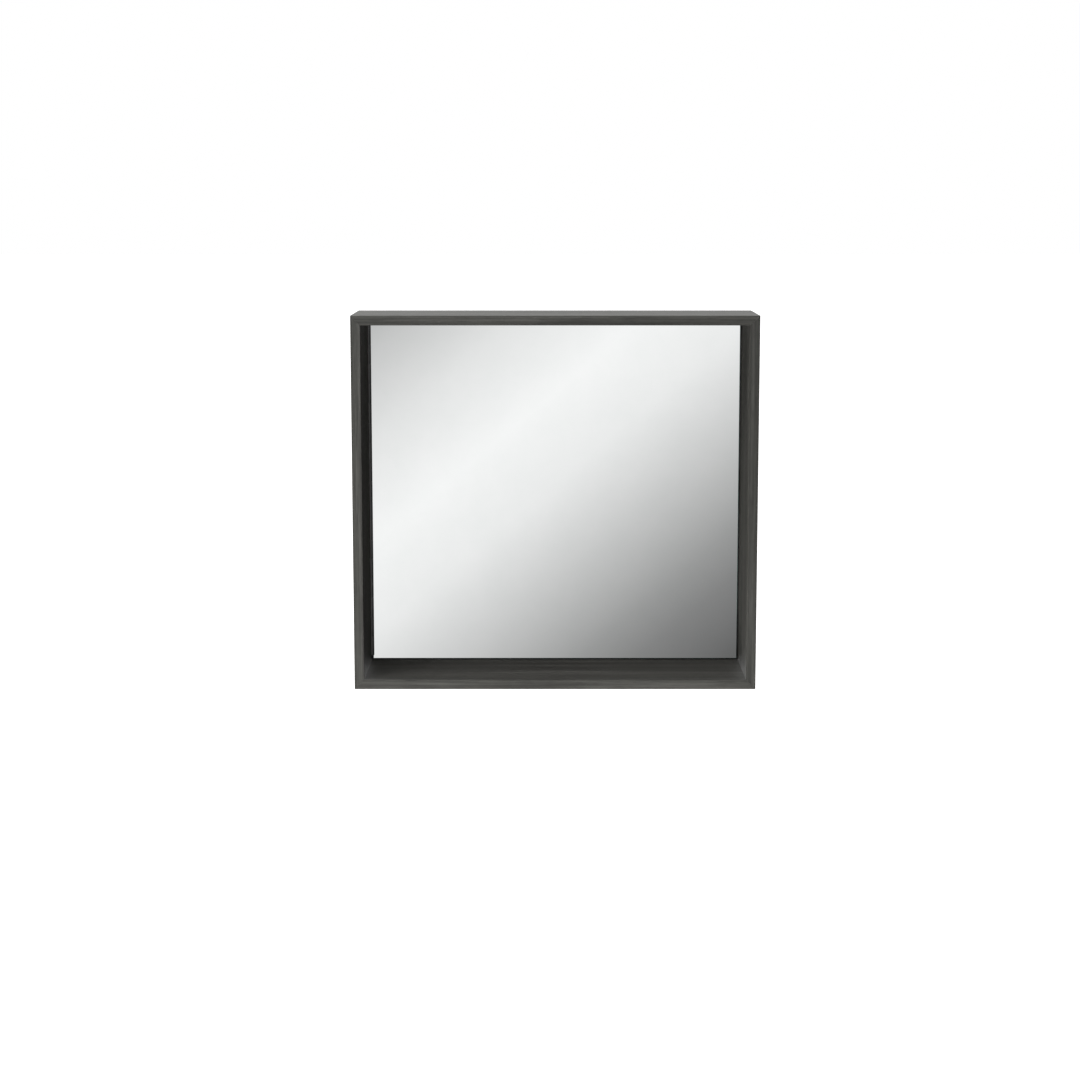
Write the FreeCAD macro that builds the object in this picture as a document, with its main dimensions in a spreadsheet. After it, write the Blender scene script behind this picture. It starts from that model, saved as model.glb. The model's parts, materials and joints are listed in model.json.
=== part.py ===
import FreeCAD, Part
import os
import Sketcher

# A semi-recessed medicine cabinet. A deep open case of mitred boards projects from the wall.
# Behind it, inside the wall, stands a sheet aluminium storage body with two glass shelves.
# A mirror door stands where the two meet. It hangs on a full-length hinge at its left edge and
# is held by a touch latch at its right edge.
#
# Millimetres. +X is right, +Z is up, and the front faces -Y. The wall's surface is y = 0, and the
# origin is the centre of the wall opening.

DIMENSIONS = {
    # Case
    "case_width": 750,
    "case_height": 700,
    "case_depth": 150,
    "board_thick": 18,
    "edging_thick": 1,
    "edging_bevel": 0.5,
    # Storage body
    "body_sheet": 2,
    "body_depth": 110,
    "flange_inset": 3,
    "lip_width": 12,
    # Door
    "glass_thick": 4,
    "glass_bevel": 0.8,
    "glass_proud": 6,
    "tape_thick": 1,
    "tape_width": 20,
    "tape_length": 600,
    "tape_spacing": 180,
    "panel_thick": 16,
    "door_gap": 2.5,
    "bumper_thick": 1.8,
    "bumper_radius": 3.5,
    "bumper_inset": 7,
    "bumper_reach": 290,
    # Stop rails
    "rail_size": 10,
    "rail_width": 12,
    "rail_gap": 2,
    "rail_end": 22,
    "rail_latch_gap": 34,
    # Hinge
    "leaf_thick": 1,
    "leaf_gap": 1.2,
    "leaf_rear": 13,
    "barrel_radius": 2.3,
    "barrel_wall_gap": 0.3,
    "barrel_glass_gap": 0.2,
    "leaf_barrel_gap": 0.4,
    "pin_radius": 1,
    "pin_clearance": 0.05,
    "knuckle_count": 17,
    "knuckle_pitch": 38,
    "knuckle_gap": 0.5,
    "tab_wall": 0.4,
    "hinge_screw_spacing": 76,
    "hinge_screw_depth": 7,
    # Shelves
    "shelf_thick": 5,
    "shelf_depth": 75,
    "shelf_front": 30,
    "shelf_height": 110,
    "shelf_end_gap": 3,
    "shelf_bevel": 0.6,
    "peg_radius": 2.5,
    "peg_inside": 10,
    "peg_outside": 3,
    "collar_radius": 4.5,
    "collar_thick": 1.5,
    "peg_front": 42,
    "peg_rear": 92,
    "peg_step": 32,
    # Touch latch
    "latch_width": 16,
    "latch_height": 18,
    "latch_front": 20,
    "latch_depth": 66,
    "latch_bore_depth": 58,
    "ear_thick": 3,
    "ear_height": 44,
    "ear_front": 40,
    "ear_depth": 20,
    "ear_hole_height": 16,
    "plunger_radius": 4,
    "plunger_clearance": 0.08,
    "plunger_length": 41,
    "plunger_tip": 16.8,
    "magnet_radius": 3.4,
    "magnet_thick": 3,
    "magnet_proud": 0.3,
    "spring_radius": 3.2,
    "spring_wire": 0.35,
    "spring_pitch": 2.4,
    "strike_width": 12,
    "strike_height": 40,
    "strike_thick": 1.2,
    "strike_inset": 0.5,
    "strike_hole_height": 14,
    # Fasteners
    "screw_head_radius": 2.7,
    "screw_head": 1,
    "screw_radius": 1.4,
    "short_screw": 8,
    "long_screw": 14,
    "case_screw_head_radius": 3.5,
    "case_screw_head": 1.9,
    "case_screw_radius": 1.75,
    "case_screw_length": 30,
    "screw_point": 2,
    "rivet_head_radius": 3.2,
    "rivet_head": 1,
    "rivet_radius": 1.6,
    "rivet_grip": 4,
    "rivet_bulb_radius": 2.3,
    "rivet_bulb": 1.5,
    "biscuit_length": 53,
    "biscuit_width": 19,
    "biscuit_thick": 4,
    "biscuit_shift": 2,
    # Stud fixing holes
    "stud_hole_radius": 2.75,
    "stud_hole_spacing": 500,
    "stud_hole_depth": 66,
}

# Worked-out sizes, each a cell that follows the driving ones
DERIVED = {
    "inner_x": "case_width / 2 - board_thick",
    "inner_z": "case_height / 2 - board_thick",
    "flange_width": "board_thick - flange_inset",
    "back_front": "body_depth - 2 * body_sheet",
    "panel_front": "glass_thick + tape_thick - glass_proud",
    "panel_rear": "panel_front + panel_thick",
    "rail_front": "panel_rear + rail_gap",
    "door_left": "-inner_x + 2 * leaf_thick + leaf_gap",
    "door_right": "inner_x - door_gap",
    "door_top": "inner_z - door_gap",
    "axis_x": "-inner_x + barrel_wall_gap + barrel_radius",
    "axis_y": "-glass_proud - barrel_glass_gap - barrel_radius",
    "leaf_front": "axis_y + barrel_radius + leaf_barrel_gap",
    "hinge_length": "knuckle_count * knuckle_pitch",
    "latch_x": "inner_x - latch_width / 2",
    "bore_end": "latch_front + latch_bore_depth",
    "plunger_rear": "plunger_tip + plunger_length",
    "screw_line": "case_width / 2 - board_thick / 2",
}

# How many hinge screws and tape strips there are, side by side
HINGE_SCREWS = 8
TAPE_STRIPS = 4

# Where the other repeated pieces stand, as shares of the case's width, height or depth
BISCUIT_SHARES = (0.27, 0.73)
CASE_SCREW_SHARES = (-0.36, -0.12, 0.12, 0.36)
BACK_RIVET_SHARES = (-0.42, 0, 0.42)
SIDE_RIVET_SHARES = (-0.336, 0, 0.336)
RAIL_RIVET_SHARES = (-0.3, 0.3)
LATCH_RAIL_SHARES = (0.12, 0.36)

ALONG_Z = FreeCAD.Rotation()
ALONG_Y = FreeCAD.Rotation(FreeCAD.Vector(1, 0, 0), -90)
AGAINST_Y = FreeCAD.Rotation(FreeCAD.Vector(1, 0, 0), 90)
ALONG_X = FreeCAD.Rotation(FreeCAD.Vector(0, 1, 0), 90)
AGAINST_X = FreeCAD.Rotation(FreeCAD.Vector(0, 1, 0), -90)
AGAINST_Z = FreeCAD.Rotation(FreeCAD.Vector(1, 0, 0), 180)

# Each side of a rectangular frame, by the signs of the two corners it runs between
SIDES = {
    "top": ((-1, 1), (1, 1)),
    "bottom": ((-1, -1), (1, -1)),
    "left": ((-1, -1), (-1, 1)),
    "right": ((1, -1), (1, 1)),
}

doc = FreeCAD.newDocument("MirrorCabinet")
sheet = doc.addObject("Spreadsheet::Sheet", "Dims")
nodes = []


def fill_sheet():
    """Write every driving number and every worked-out size into the sheet, one row each."""
    row = 1
    for alias, value in DIMENSIONS.items():
        sheet.set(f"A{row}", alias)
        sheet.set(f"B{row}", str(value))
        sheet.setAlias(f"B{row}", alias)
        row += 1
    for alias, formula in DERIVED.items():
        sheet.set(f"A{row}", alias)
        sheet.set(f"B{row}", f"={formula}")
        sheet.setAlias(f"B{row}", alias)
        row += 1
    doc.recompute()


def cell(formula):
    """Turn a formula of bare sheet names into one that other objects can use."""
    words = str(formula).replace("(", "( ").replace(")", " )").split()
    return " ".join(signed(word) for word in words)


def signed(word):
    """Put the sheet's name in front of a word that is one of its aliases."""
    bare = word.lstrip("-")
    sign = word[: len(word) - len(bare)]
    if bare in DIMENSIONS or bare in DERIVED:
        return f"{sign}Dims.{bare}"
    return word


def bind(item, **formulas):
    """Bind properties to the sheet; x, y and z stand for the placement's base."""
    for name, formula in formulas.items():
        path = f"Placement.Base.{name}" if name in ("x", "y", "z") else name
        item.setExpression(path, cell(formula))
    return item


def node(item, name):
    """Name a finished sub-part, and list it for export."""
    item.Label = name
    nodes.append(item)
    return item


def origin_item(body, role):
    """Find one of a body's own origin planes or axes."""
    return next(item for item in body.Origin.OriginFeatures if item.Role == role)


def outline(body, plane, corners):
    """Sketch a closed outline on an origin plane, with every corner bound to the sheet."""
    sketch = body.newObject("Sketcher::SketchObject", f"{body.Name}_outline")
    sketch.AttachmentSupport = (origin_item(body, plane), [""])
    sketch.MapMode = "FlatFace"
    count = len(corners)
    start = [FreeCAD.Vector(i, i * i, 0) for i in range(count)]
    for i in range(count):
        sketch.addGeometry(Part.LineSegment(start[i], start[(i + 1) % count]))
    for i in range(count):
        sketch.addConstraint(Sketcher.Constraint("Coincident", i, 2, (i + 1) % count, 1))
    for i, corner in enumerate(corners):
        for kind, formula, value in zip(("DistanceX", "DistanceY"), corner, start[i]):
            index = sketch.addConstraint(Sketcher.Constraint(kind, -1, 1, i, 1, value))
            name = f"corner_{i}_{kind[-1].lower()}"
            sketch.renameConstraint(index, name)
            sketch.setExpression(f"Constraints.{name}", cell(formula))
    return sketch


def slab(name, corners, y_rear, depth, bevel=None):
    """Pad an outline in the X-Z plane forwards from y_rear; the bevel eases its front edges."""
    body = doc.addObject("PartDesign::Body", name)
    pad = body.newObject("PartDesign::Pad", f"{name}_pad")
    pad.Profile = outline(body, "XZ_Plane", corners)
    bind(pad, Length=depth)
    bind(body, y=y_rear)
    doc.recompute()
    if bevel:
        front = min(pad.Shape.Edges, key=lambda edge: edge.BoundBox.YMax).BoundBox.YMax
        edges = [
            f"Edge{i}"
            for i, edge in enumerate(pad.Shape.Edges, 1)
            if edge.BoundBox.YMax < front + 0.01
            and min(edge.BoundBox.XLength, edge.BoundBox.ZLength) < 0.01
        ]
        chamfer = body.newObject("PartDesign::Chamfer", f"{name}_bevel")
        chamfer.Base = (pad, edges)
        bind(chamfer, Size=bevel)
    return body


def rectangle(left, right, low, high):
    """The four corners of an upright rectangle."""
    return [(left, low), (right, low), (right, high), (left, high)]


def frame_side(name, side, inset, width, y_rear, depth, bevel=None):
    """One mitred side of a rectangular frame whose outside stands inset from the case's."""
    corners = []
    ends = SIDES[side]
    for extra, (sign_x, sign_z) in zip(("0", "0", width, width), (*ends, *reversed(ends))):
        corners.append(
            (
                f"{sign_x} * (case_width / 2 - {inset} - {extra})",
                f"{sign_z} * (case_height / 2 - {inset} - {extra})",
            )
        )
    return slab(name, corners, y_rear, depth, bevel)


def turned(name, profile):
    """Revolve a profile of (radius, height) corners about the Z axis."""
    body = doc.addObject("PartDesign::Body", name)
    spin = body.newObject("PartDesign::Revolution", f"{name}_spin")
    spin.Profile = outline(body, "XZ_Plane", profile)
    spin.ReferenceAxis = (origin_item(body, "Z_Axis"), [""])
    spin.Angle = 360
    return body


def block(name, x, y, z, size_x, size_y, size_z):
    """A rectangular bar or plate, from its lowest corner."""
    box = doc.addObject("Part::Box", name)
    return bind(box, x=x, y=y, z=z, Length=size_x, Width=size_y, Height=size_z)


def rod(name, radius, length, x, y, z, turn=ALONG_Z):
    """A round bar or a drill's path, from the centre of its first end."""
    cylinder = doc.addObject("Part::Cylinder", name)
    cylinder.Placement = FreeCAD.Placement(FreeCAD.Vector(), turn)
    return bind(cylinder, x=x, y=y, z=z, Radius=radius, Height=length)


def group(name, template, spots):
    """Copies of one template as separate solids, at (turn, x, y, z) spots."""
    links = []
    for i, (turn, x, y, z) in enumerate(spots, 1):
        link = doc.addObject("App::Link", f"{name}_{i}")
        link.LinkedObject = template
        link.Placement = FreeCAD.Placement(FreeCAD.Vector(), turn)
        links.append(bind(link, x=x, y=y, z=z))
    return gather(name, links)


def gather(name, items):
    """Several objects as one compound, still separate solids."""
    compound = doc.addObject("Part::Compound", name)
    compound.Links = items
    return compound


def fuse(name, items):
    """Several touching or overlapping objects as one solid."""
    union = doc.addObject("Part::MultiFuse", name)
    union.Shapes = items
    return union


def cut(name, base, *tools):
    """The base with each tool taken away in turn."""
    for i, tool in enumerate(tools, 1):
        result = doc.addObject("Part::Cut", f"{name}_cut_{i}")
        result.Base = base
        result.Tool = tool
        base = result
    return base


def screw(name, head_radius, head, radius, length):
    """A countersunk wood screw along +Z, its head's flat top at z = 0."""
    profile = [
        ("0", "0"),
        (head_radius, "0"),
        (radius, head),
        (radius, f"{length} - screw_point"),
        ("0", length),
    ]
    return turned(name, profile)


def centred(count):
    """Whole steps centred on zero, such as -1.5, -0.5, 0.5 and 1.5 for four."""
    return [i - (count - 1) / 2 for i in range(count)]


def make_fasteners():
    """The templates that the groups of fasteners copy."""
    rivet_profile = [
        ("0", "-rivet_head"),
        ("rivet_head_radius / 2", "-rivet_head"),
        ("rivet_head_radius", "0"),
        ("rivet_radius", "0"),
        ("rivet_radius", "rivet_grip"),
        ("rivet_bulb_radius", "rivet_grip"),
        ("rivet_radius", "rivet_grip + rivet_bulb"),
        ("0", "rivet_grip + rivet_bulb"),
    ]
    small = ("screw_head_radius", "screw_head", "screw_radius")
    large = ("case_screw_head_radius", "case_screw_head", "case_screw_radius")
    return {
        "short": screw("short_screw_template", *small, "short_screw"),
        "long": screw("long_screw_template", *small, "long_screw"),
        "case": screw("case_screw_template", *large, "case_screw_length"),
        "rivet": turned("rivet_template", rivet_profile),
    }


def make_biscuits():
    """Two beech biscuits across each mitre, 45 degrees to the boards and near the inner corner."""
    plan = [
        ("-biscuit_width / 2", "-biscuit_length / 2 + biscuit_width / 2"),
        ("0", "-biscuit_length / 2"),
        ("biscuit_width / 2", "-biscuit_length / 2 + biscuit_width / 2"),
        ("biscuit_width / 2", "biscuit_length / 2 - biscuit_width / 2"),
        ("0", "biscuit_length / 2"),
        ("-biscuit_width / 2", "biscuit_length / 2 - biscuit_width / 2"),
    ]
    template = doc.addObject("PartDesign::Body", "biscuit_template")
    pad = template.newObject("PartDesign::Pad", "biscuit_pad")
    pad.Profile = outline(template, "XY_Plane", plan)
    pad.SideType = "Symmetric"
    bind(pad, Length="biscuit_thick")
    spots = []
    for sign_x in (-1, 1):
        for sign_z in (-1, 1):
            turn = FreeCAD.Rotation(FreeCAD.Vector(0, 1, 0), -sign_x * sign_z * 45)
            x = f"{sign_x} * (screw_line - biscuit_shift)"
            z = f"{sign_z} * (case_height / 2 - board_thick / 2 - biscuit_shift)"
            for share in BISCUIT_SHARES:
                spots.append((turn, x, f"-{share} * case_depth", z))
    return node(group("corner_biscuits", template, spots), "corner_biscuits")


def make_case_screws(template):
    """Screws from behind the flange into the rear edges of the boards."""
    spots = []
    for share in CASE_SCREW_SHARES:
        for sign in (-1, 1):
            across = f"{share} * case_width"
            edge_z = f"{sign} * (case_height / 2 - board_thick / 2)"
            spots.append((AGAINST_Y, across, "0", edge_z))
            spots.append((AGAINST_Y, f"{sign} * screw_line", "0", f"{share} * case_height"))
    return node(group("case_screws", template, spots), "case_screws")


def make_case(biscuits, screws):
    """Four mitred boards and the veneer edging on their front edges."""
    edging = []
    for side in SIDES:
        board = frame_side(
            f"board_{side}", side, "0", "board_thick",
            "-body_sheet", "case_depth - body_sheet - edging_thick",
        )
        node(cut(f"case_{side}", board, biscuits, screws), f"case_{side}")
        strip = frame_side(
            f"edging_{side}", side, "0", "board_thick",
            "-case_depth + edging_thick", "edging_thick", "edging_bevel",
        )
        edging.append(strip)
    node(gather("front_edging", edging), "front_edging")


def rivet_spots():
    """Rivets of the back panel, then those that hold the stop rails to the walls."""
    spots = []
    lip_z = "inner_z - lip_width / 2"
    lip_x = "inner_x - lip_width / 2"
    for sign in (-1, 1):
        for share in BACK_RIVET_SHARES:
            spots.append((ALONG_Y, f"{share} * case_width", "back_front", f"{sign} * ({lip_z})"))
        for share in SIDE_RIVET_SHARES:
            spots.append((ALONG_Y, f"{sign} * ({lip_x})", "back_front", f"{share} * case_height"))
        turn = AGAINST_Z if sign > 0 else ALONG_Z
        for share in RAIL_RIVET_SHARES:
            outside = f"{sign} * (inner_z + body_sheet)"
            spots.append((turn, f"{share} * case_width", "rail_front + rail_size / 2", outside))
        for share in LATCH_RAIL_SHARES:
            height = f"{sign * share} * case_height"
            spots.append((AGAINST_X, "inner_x + body_sheet", "rail_front + rail_size / 2", height))
    return spots


def make_peg_holes(sign, name):
    """Peg holes for three heights of each shelf in one side wall."""
    spots = []
    for depth in ("peg_front", "peg_rear"):
        for shelf in (-1, 1):
            for step in (-1, 0, 1):
                height = f"{shelf} * shelf_height - shelf_thick / 2 - peg_radius + {step} * peg_step"
                spots.append((ALONG_X, f"{sign} * (inner_x + body_sheet / 2)", depth, height))
    drill = turned(f"{name}_drill", rectangle("0", "peg_radius", "-body_sheet", "body_sheet"))
    return group(f"{name}_holes", drill, spots)


def make_stud_holes(sign, name):
    """Two holes in a side wall for screws into the studs beside the wall opening."""
    drill = turned(f"{name}_stud_drill", rectangle("0", "stud_hole_radius", "-body_sheet", "body_sheet"))
    centre = f"{sign} * (inner_x + body_sheet / 2)"
    spots = [
        (ALONG_X, centre, "stud_hole_depth", f"{end} * stud_hole_spacing / 2")
        for end in (-1, 1)
    ]
    return group(f"{name}_stud_holes", drill, spots)


def make_storage_body(rivets, case_screws, hinge_screws, latch_screws):
    """Four folded walls with a front flange and a rear lip, and the back panel."""
    for side in SIDES:
        name = f"body_{side}"
        flange = frame_side(f"{name}_flange", side, "flange_inset", "flange_width", "0", "body_sheet")
        web = frame_side(
            f"{name}_web", side, "(board_thick - body_sheet)", "body_sheet",
            "body_depth", "body_depth + body_sheet",
        )
        lip = frame_side(f"{name}_lip", side, "board_thick", "lip_width", "body_depth", "body_sheet")
        tools = [rivets]
        if side in ("left", "right"):
            sign = -1 if side == "left" else 1
            tools.append(make_peg_holes(sign, name))
            tools.append(make_stud_holes(sign, name))
            tools.append(hinge_screws if side == "left" else latch_screws)
        folded = fuse(f"{name}_folded", [flange, web, lip])
        node(cut(name, folded, case_screws, *tools), name)
    back = slab(
        "back_sheet", rectangle("-inner_x", "inner_x", "-inner_z", "inner_z"),
        "body_depth - body_sheet", "body_sheet",
    )
    node(cut("body_back", back, rivets), "body_back")


def make_stop_rails(rivets):
    """Bars that the door closes against, along the top, the bottom and the latch side."""
    rails = []
    length = "2 * (inner_x - rail_width - rail_end)"
    across = "-inner_x + rail_width + rail_end"
    for name, low in (("top", "inner_z - rail_width"), ("bottom", "-inner_z")):
        rails.append(block(f"rail_{name}", across, "rail_front", low, length, "rail_size", "rail_width"))
    height = "inner_z - rail_end - rail_latch_gap"
    for name, low in (("upper", "rail_latch_gap"), ("lower", "-inner_z + rail_end")):
        bar = block(
            f"rail_{name}", "inner_x - rail_width", "rail_front", low, "rail_width", "rail_size", height
        )
        rails.append(bar)
    node(cut("stop_rails", gather("rail_bars", rails), rivets), "stop_rails")


def make_shelves():
    """Two glass shelves, each on four pegs with collars."""
    half = "(inner_x - shelf_end_gap)"
    for name, level in (("shelf_lower", "-shelf_height"), ("shelf_upper", "shelf_height")):
        corners = rectangle(
            f"-1 * {half}", half, f"{level} - shelf_thick / 2", f"{level} + shelf_thick / 2"
        )
        shelf = slab(name, corners, "shelf_front + shelf_depth", "shelf_depth", "shelf_bevel")
        node(shelf, name)
    profile = [
        ("0", "-peg_outside - body_sheet"),
        ("peg_radius", "-peg_outside - body_sheet"),
        ("peg_radius", "0"),
        ("collar_radius", "0"),
        ("collar_radius", "collar_thick"),
        ("peg_radius", "collar_thick"),
        ("peg_radius", "peg_inside"),
        ("0", "peg_inside"),
    ]
    peg = turned("peg_template", profile)
    spots = []
    for sign, turn in ((-1, ALONG_X), (1, AGAINST_X)):
        for depth in ("peg_front", "peg_rear"):
            for shelf in (-1, 1):
                height = f"{shelf} * shelf_height - shelf_thick / 2 - peg_radius"
                spots.append((turn, f"{sign} * inner_x", depth, height))
    node(group("shelf_pegs", peg, spots), "shelf_pegs")


def screw_heights():
    """Heights of the screws along each hinge leaf."""
    return [f"{step} * hinge_screw_spacing" for step in centred(HINGE_SCREWS)]


def make_hinge_leaf(name, first, plate_x, tab_x, tab_size, tab_front, screws):
    """A leaf with every other knuckle of the barrel, starting from the one numbered first."""
    depth = "leaf_rear - leaf_front"
    plate = block(
        f"{name}_plate", plate_x, "leaf_front", "-hinge_length / 2", "leaf_thick", depth, "hinge_length"
    )
    length = "knuckle_pitch - knuckle_gap"
    tube = rod(f"{name}_tube", "barrel_radius", length, "axis_x", "axis_y", "0")
    tab = block(f"{name}_tab", tab_x, tab_front, "0", tab_size, f"leaf_front - ({tab_front})", length)
    knuckle = fuse(f"{name}_knuckle", [tube, tab])
    spots = [
        (ALONG_Z, "0", "0", f"-hinge_length / 2 + {i} * knuckle_pitch + knuckle_gap / 2")
        for i in range(first, DIMENSIONS["knuckle_count"], 2)
    ]
    leaf = fuse(f"{name}_leaf", [plate, group(f"{name}_knuckles", knuckle, spots)])
    bore = rod(
        f"{name}_bore", "pin_radius + pin_clearance", "hinge_length + 2 * knuckle_gap",
        "axis_x", "axis_y", "-hinge_length / 2 - knuckle_gap",
    )
    return node(cut(name, leaf, bore, screws), name)


def make_hinge(door_screws, wall_screws):
    """A continuous hinge: one leaf on the left wall, one on the door's edge, and the pin."""
    make_hinge_leaf(
        "hinge_wall_leaf", 0, "-inner_x", "-inner_x", "leaf_thick", "axis_y", wall_screws
    )
    make_hinge_leaf(
        "hinge_door_leaf", 1, "door_left - leaf_thick", "door_left - leaf_thick", "leaf_thick",
        "axis_y + pin_radius + pin_clearance + tab_wall", door_screws,
    )
    pin = rod("hinge_rod", "pin_radius", "hinge_length", "axis_x", "axis_y", "-hinge_length / 2")
    node(pin, "hinge_pin")


def make_door(hinge_screws, strike_screws):
    """Backing panel, mirror glass, tape between them, bumpers and strike plate."""
    face = rectangle("door_left", "door_right", "-door_top", "door_top")
    panel = slab("door_board", face, "panel_rear", "panel_thick")
    node(cut("door_panel", panel, hinge_screws, strike_screws), "door_panel")
    glass = slab("mirror_glass", face, "glass_thick - glass_proud", "glass_thick", "glass_bevel")
    node(glass, "mirror_glass")
    strips = []
    for i, step in enumerate(centred(TAPE_STRIPS), 1):
        left = f"{step} * tape_spacing - tape_width / 2"
        strip = block(
            f"tape_{i}", left, "glass_thick - glass_proud", "-tape_length / 2",
            "tape_width", "tape_thick", "tape_length",
        )
        strips.append(strip)
    node(gather("mirror_tape", strips), "mirror_tape")
    bumper = rod("bumper_template", "bumper_radius", "bumper_thick", "0", "0", "0")
    spots = []
    for sign in (-1, 1):
        spots.append((ALONG_Y, "inner_x - bumper_inset", "panel_rear", f"{sign} * bumper_reach"))
        for side in (-1, 1):
            height = f"{sign} * (inner_z - bumper_inset)"
            spots.append((ALONG_Y, f"{side} * bumper_reach", "panel_rear", height))
    node(group("door_bumpers", bumper, spots), "door_bumpers")
    strike = block(
        "strike_sheet", "door_right - strike_inset - strike_width", "panel_rear", "-strike_height / 2",
        "strike_width", "strike_thick", "strike_height",
    )
    node(cut("strike_plate", strike, strike_screws), "strike_plate")


def make_latch(screws):
    """Housing with a blind bore, sprung plunger with a magnet tip, and the spring."""
    housing = block(
        "latch_box", "inner_x - latch_width", "latch_front", "-latch_height / 2",
        "latch_width", "latch_depth", "latch_height",
    )
    ears = block(
        "latch_ears", "inner_x - ear_thick", "ear_front", "-ear_height / 2",
        "ear_thick", "ear_depth", "ear_height",
    )
    bore = rod(
        "latch_bore", "plunger_radius + plunger_clearance", "latch_bore_depth",
        "latch_x", "latch_front", "0", ALONG_Y,
    )
    node(cut("latch_housing", fuse("latch_shell", [housing, ears]), bore, screws), "latch_housing")
    profile = [
        ("0", "magnet_thick"),
        ("magnet_radius", "magnet_thick"),
        ("magnet_radius", "0"),
        ("plunger_radius", "0"),
        ("plunger_radius", "plunger_length"),
        ("0", "plunger_length"),
    ]
    plunger = turned("plunger_template", profile)
    node(group("latch_plunger", plunger, [(ALONG_Y, "latch_x", "plunger_tip", "0")]), "latch_plunger")
    magnet = rod(
        "magnet_disc", "magnet_radius", "magnet_thick + magnet_proud",
        "latch_x", "plunger_tip - magnet_proud", "0", ALONG_Y,
    )
    node(magnet, "latch_magnet")


def make_spring():
    """A coil between the plunger's rear end and the end of the bore."""
    body = doc.addObject("PartDesign::Body", "latch_spring")
    wire = body.newObject("Sketcher::SketchObject", "spring_wire_sketch")
    wire.AttachmentSupport = (origin_item(body, "XZ_Plane"), [""])
    wire.MapMode = "FlatFace"
    wire.addGeometry(Part.Circle(FreeCAD.Vector(3, 1, 0), FreeCAD.Vector(0, 0, 1), 0.3))
    for kind, name, args, formula in (
        ("DistanceX", "coil_radius", (-1, 1, 0, 3, 3.0), "spring_radius"),
        ("DistanceY", "coil_start", (-1, 1, 0, 3, 1.0), "spring_wire"),
        ("Radius", "wire_radius", (0, 0.3), "spring_wire"),
    ):
        index = wire.addConstraint(Sketcher.Constraint(kind, *args))
        wire.renameConstraint(index, name)
        wire.setExpression(f"Constraints.{name}", cell(formula))
    doc.recompute()
    coil = body.newObject("PartDesign::AdditiveHelix", "spring_coil")
    coil.Profile = wire
    coil.ReferenceAxis = (origin_item(body, "Z_Axis"), [""])
    coil.Mode = "pitch-height-angle"
    bind(coil, Pitch="spring_pitch", Height="bore_end - plunger_rear - 2 * spring_wire")
    body.Placement = FreeCAD.Placement(FreeCAD.Vector(), ALONG_Y)
    bind(body, x="latch_x", y="plunger_rear", z="0")
    node(body, "latch_spring")


def export_nodes():
    """Check every object and every sub-part's solid, then write one STEP file per sub-part."""
    doc.recompute()
    failed = [item.Name for item in doc.Objects if {"Invalid", "Error"} & set(item.State)]
    if failed:
        raise RuntimeError(f"objects failed to compute: {failed}")
    for item in nodes:
        if item.Shape.isNull() or not item.Shape.isValid():
            raise RuntimeError(f"bad shape: {item.Label}")
    os.makedirs("parts", exist_ok=True)
    for item in nodes:
        item.Shape.exportStep(f"parts/{item.Label}.step")
        print(item.Label, len(item.Shape.Solids), round(item.Shape.Volume))


fill_sheet()
fasteners = make_fasteners()
heights = screw_heights()
wall_spots = [(AGAINST_X, "-inner_x + leaf_thick", "hinge_screw_depth", z) for z in heights]
door_spots = [(ALONG_X, "door_left - leaf_thick", "hinge_screw_depth", z) for z in heights]
ear_depth_centre = "ear_front + ear_depth / 2"
latch_spots = [
    (ALONG_X, "inner_x - ear_thick", ear_depth_centre, f"{sign} * ear_hole_height") for sign in (-1, 1)
]
strike_centre = "door_right - strike_inset - strike_width / 2"
strike_spots = [
    (AGAINST_Y, strike_centre, "panel_rear + strike_thick", f"{sign} * strike_hole_height")
    for sign in (-1, 1)
]
hinge_wall_screws = group("hinge_wall_screws", fasteners["short"], wall_spots)
hinge_door_screws = group("hinge_door_screws", fasteners["long"], door_spots)
latch_screws = group("latch_screws", fasteners["short"], latch_spots)
strike_screws = group("strike_screws", fasteners["long"], strike_spots)
for screws in (hinge_wall_screws, hinge_door_screws, latch_screws, strike_screws):
    node(screws, screws.Name)
body_rivets = node(group("body_rivets", fasteners["rivet"], rivet_spots()), "body_rivets")
case_screws = make_case_screws(fasteners["case"])
make_case(make_biscuits(), case_screws)
make_storage_body(body_rivets, case_screws, hinge_wall_screws, latch_screws)
make_stop_rails(body_rivets)
make_shelves()
make_hinge(hinge_door_screws, hinge_wall_screws)
make_door(hinge_door_screws, strike_screws)
make_latch(latch_screws)
make_spring()
export_nodes()
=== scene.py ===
import json
import math

import bmesh
import bpy
from mathutils import Matrix, Vector


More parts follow.
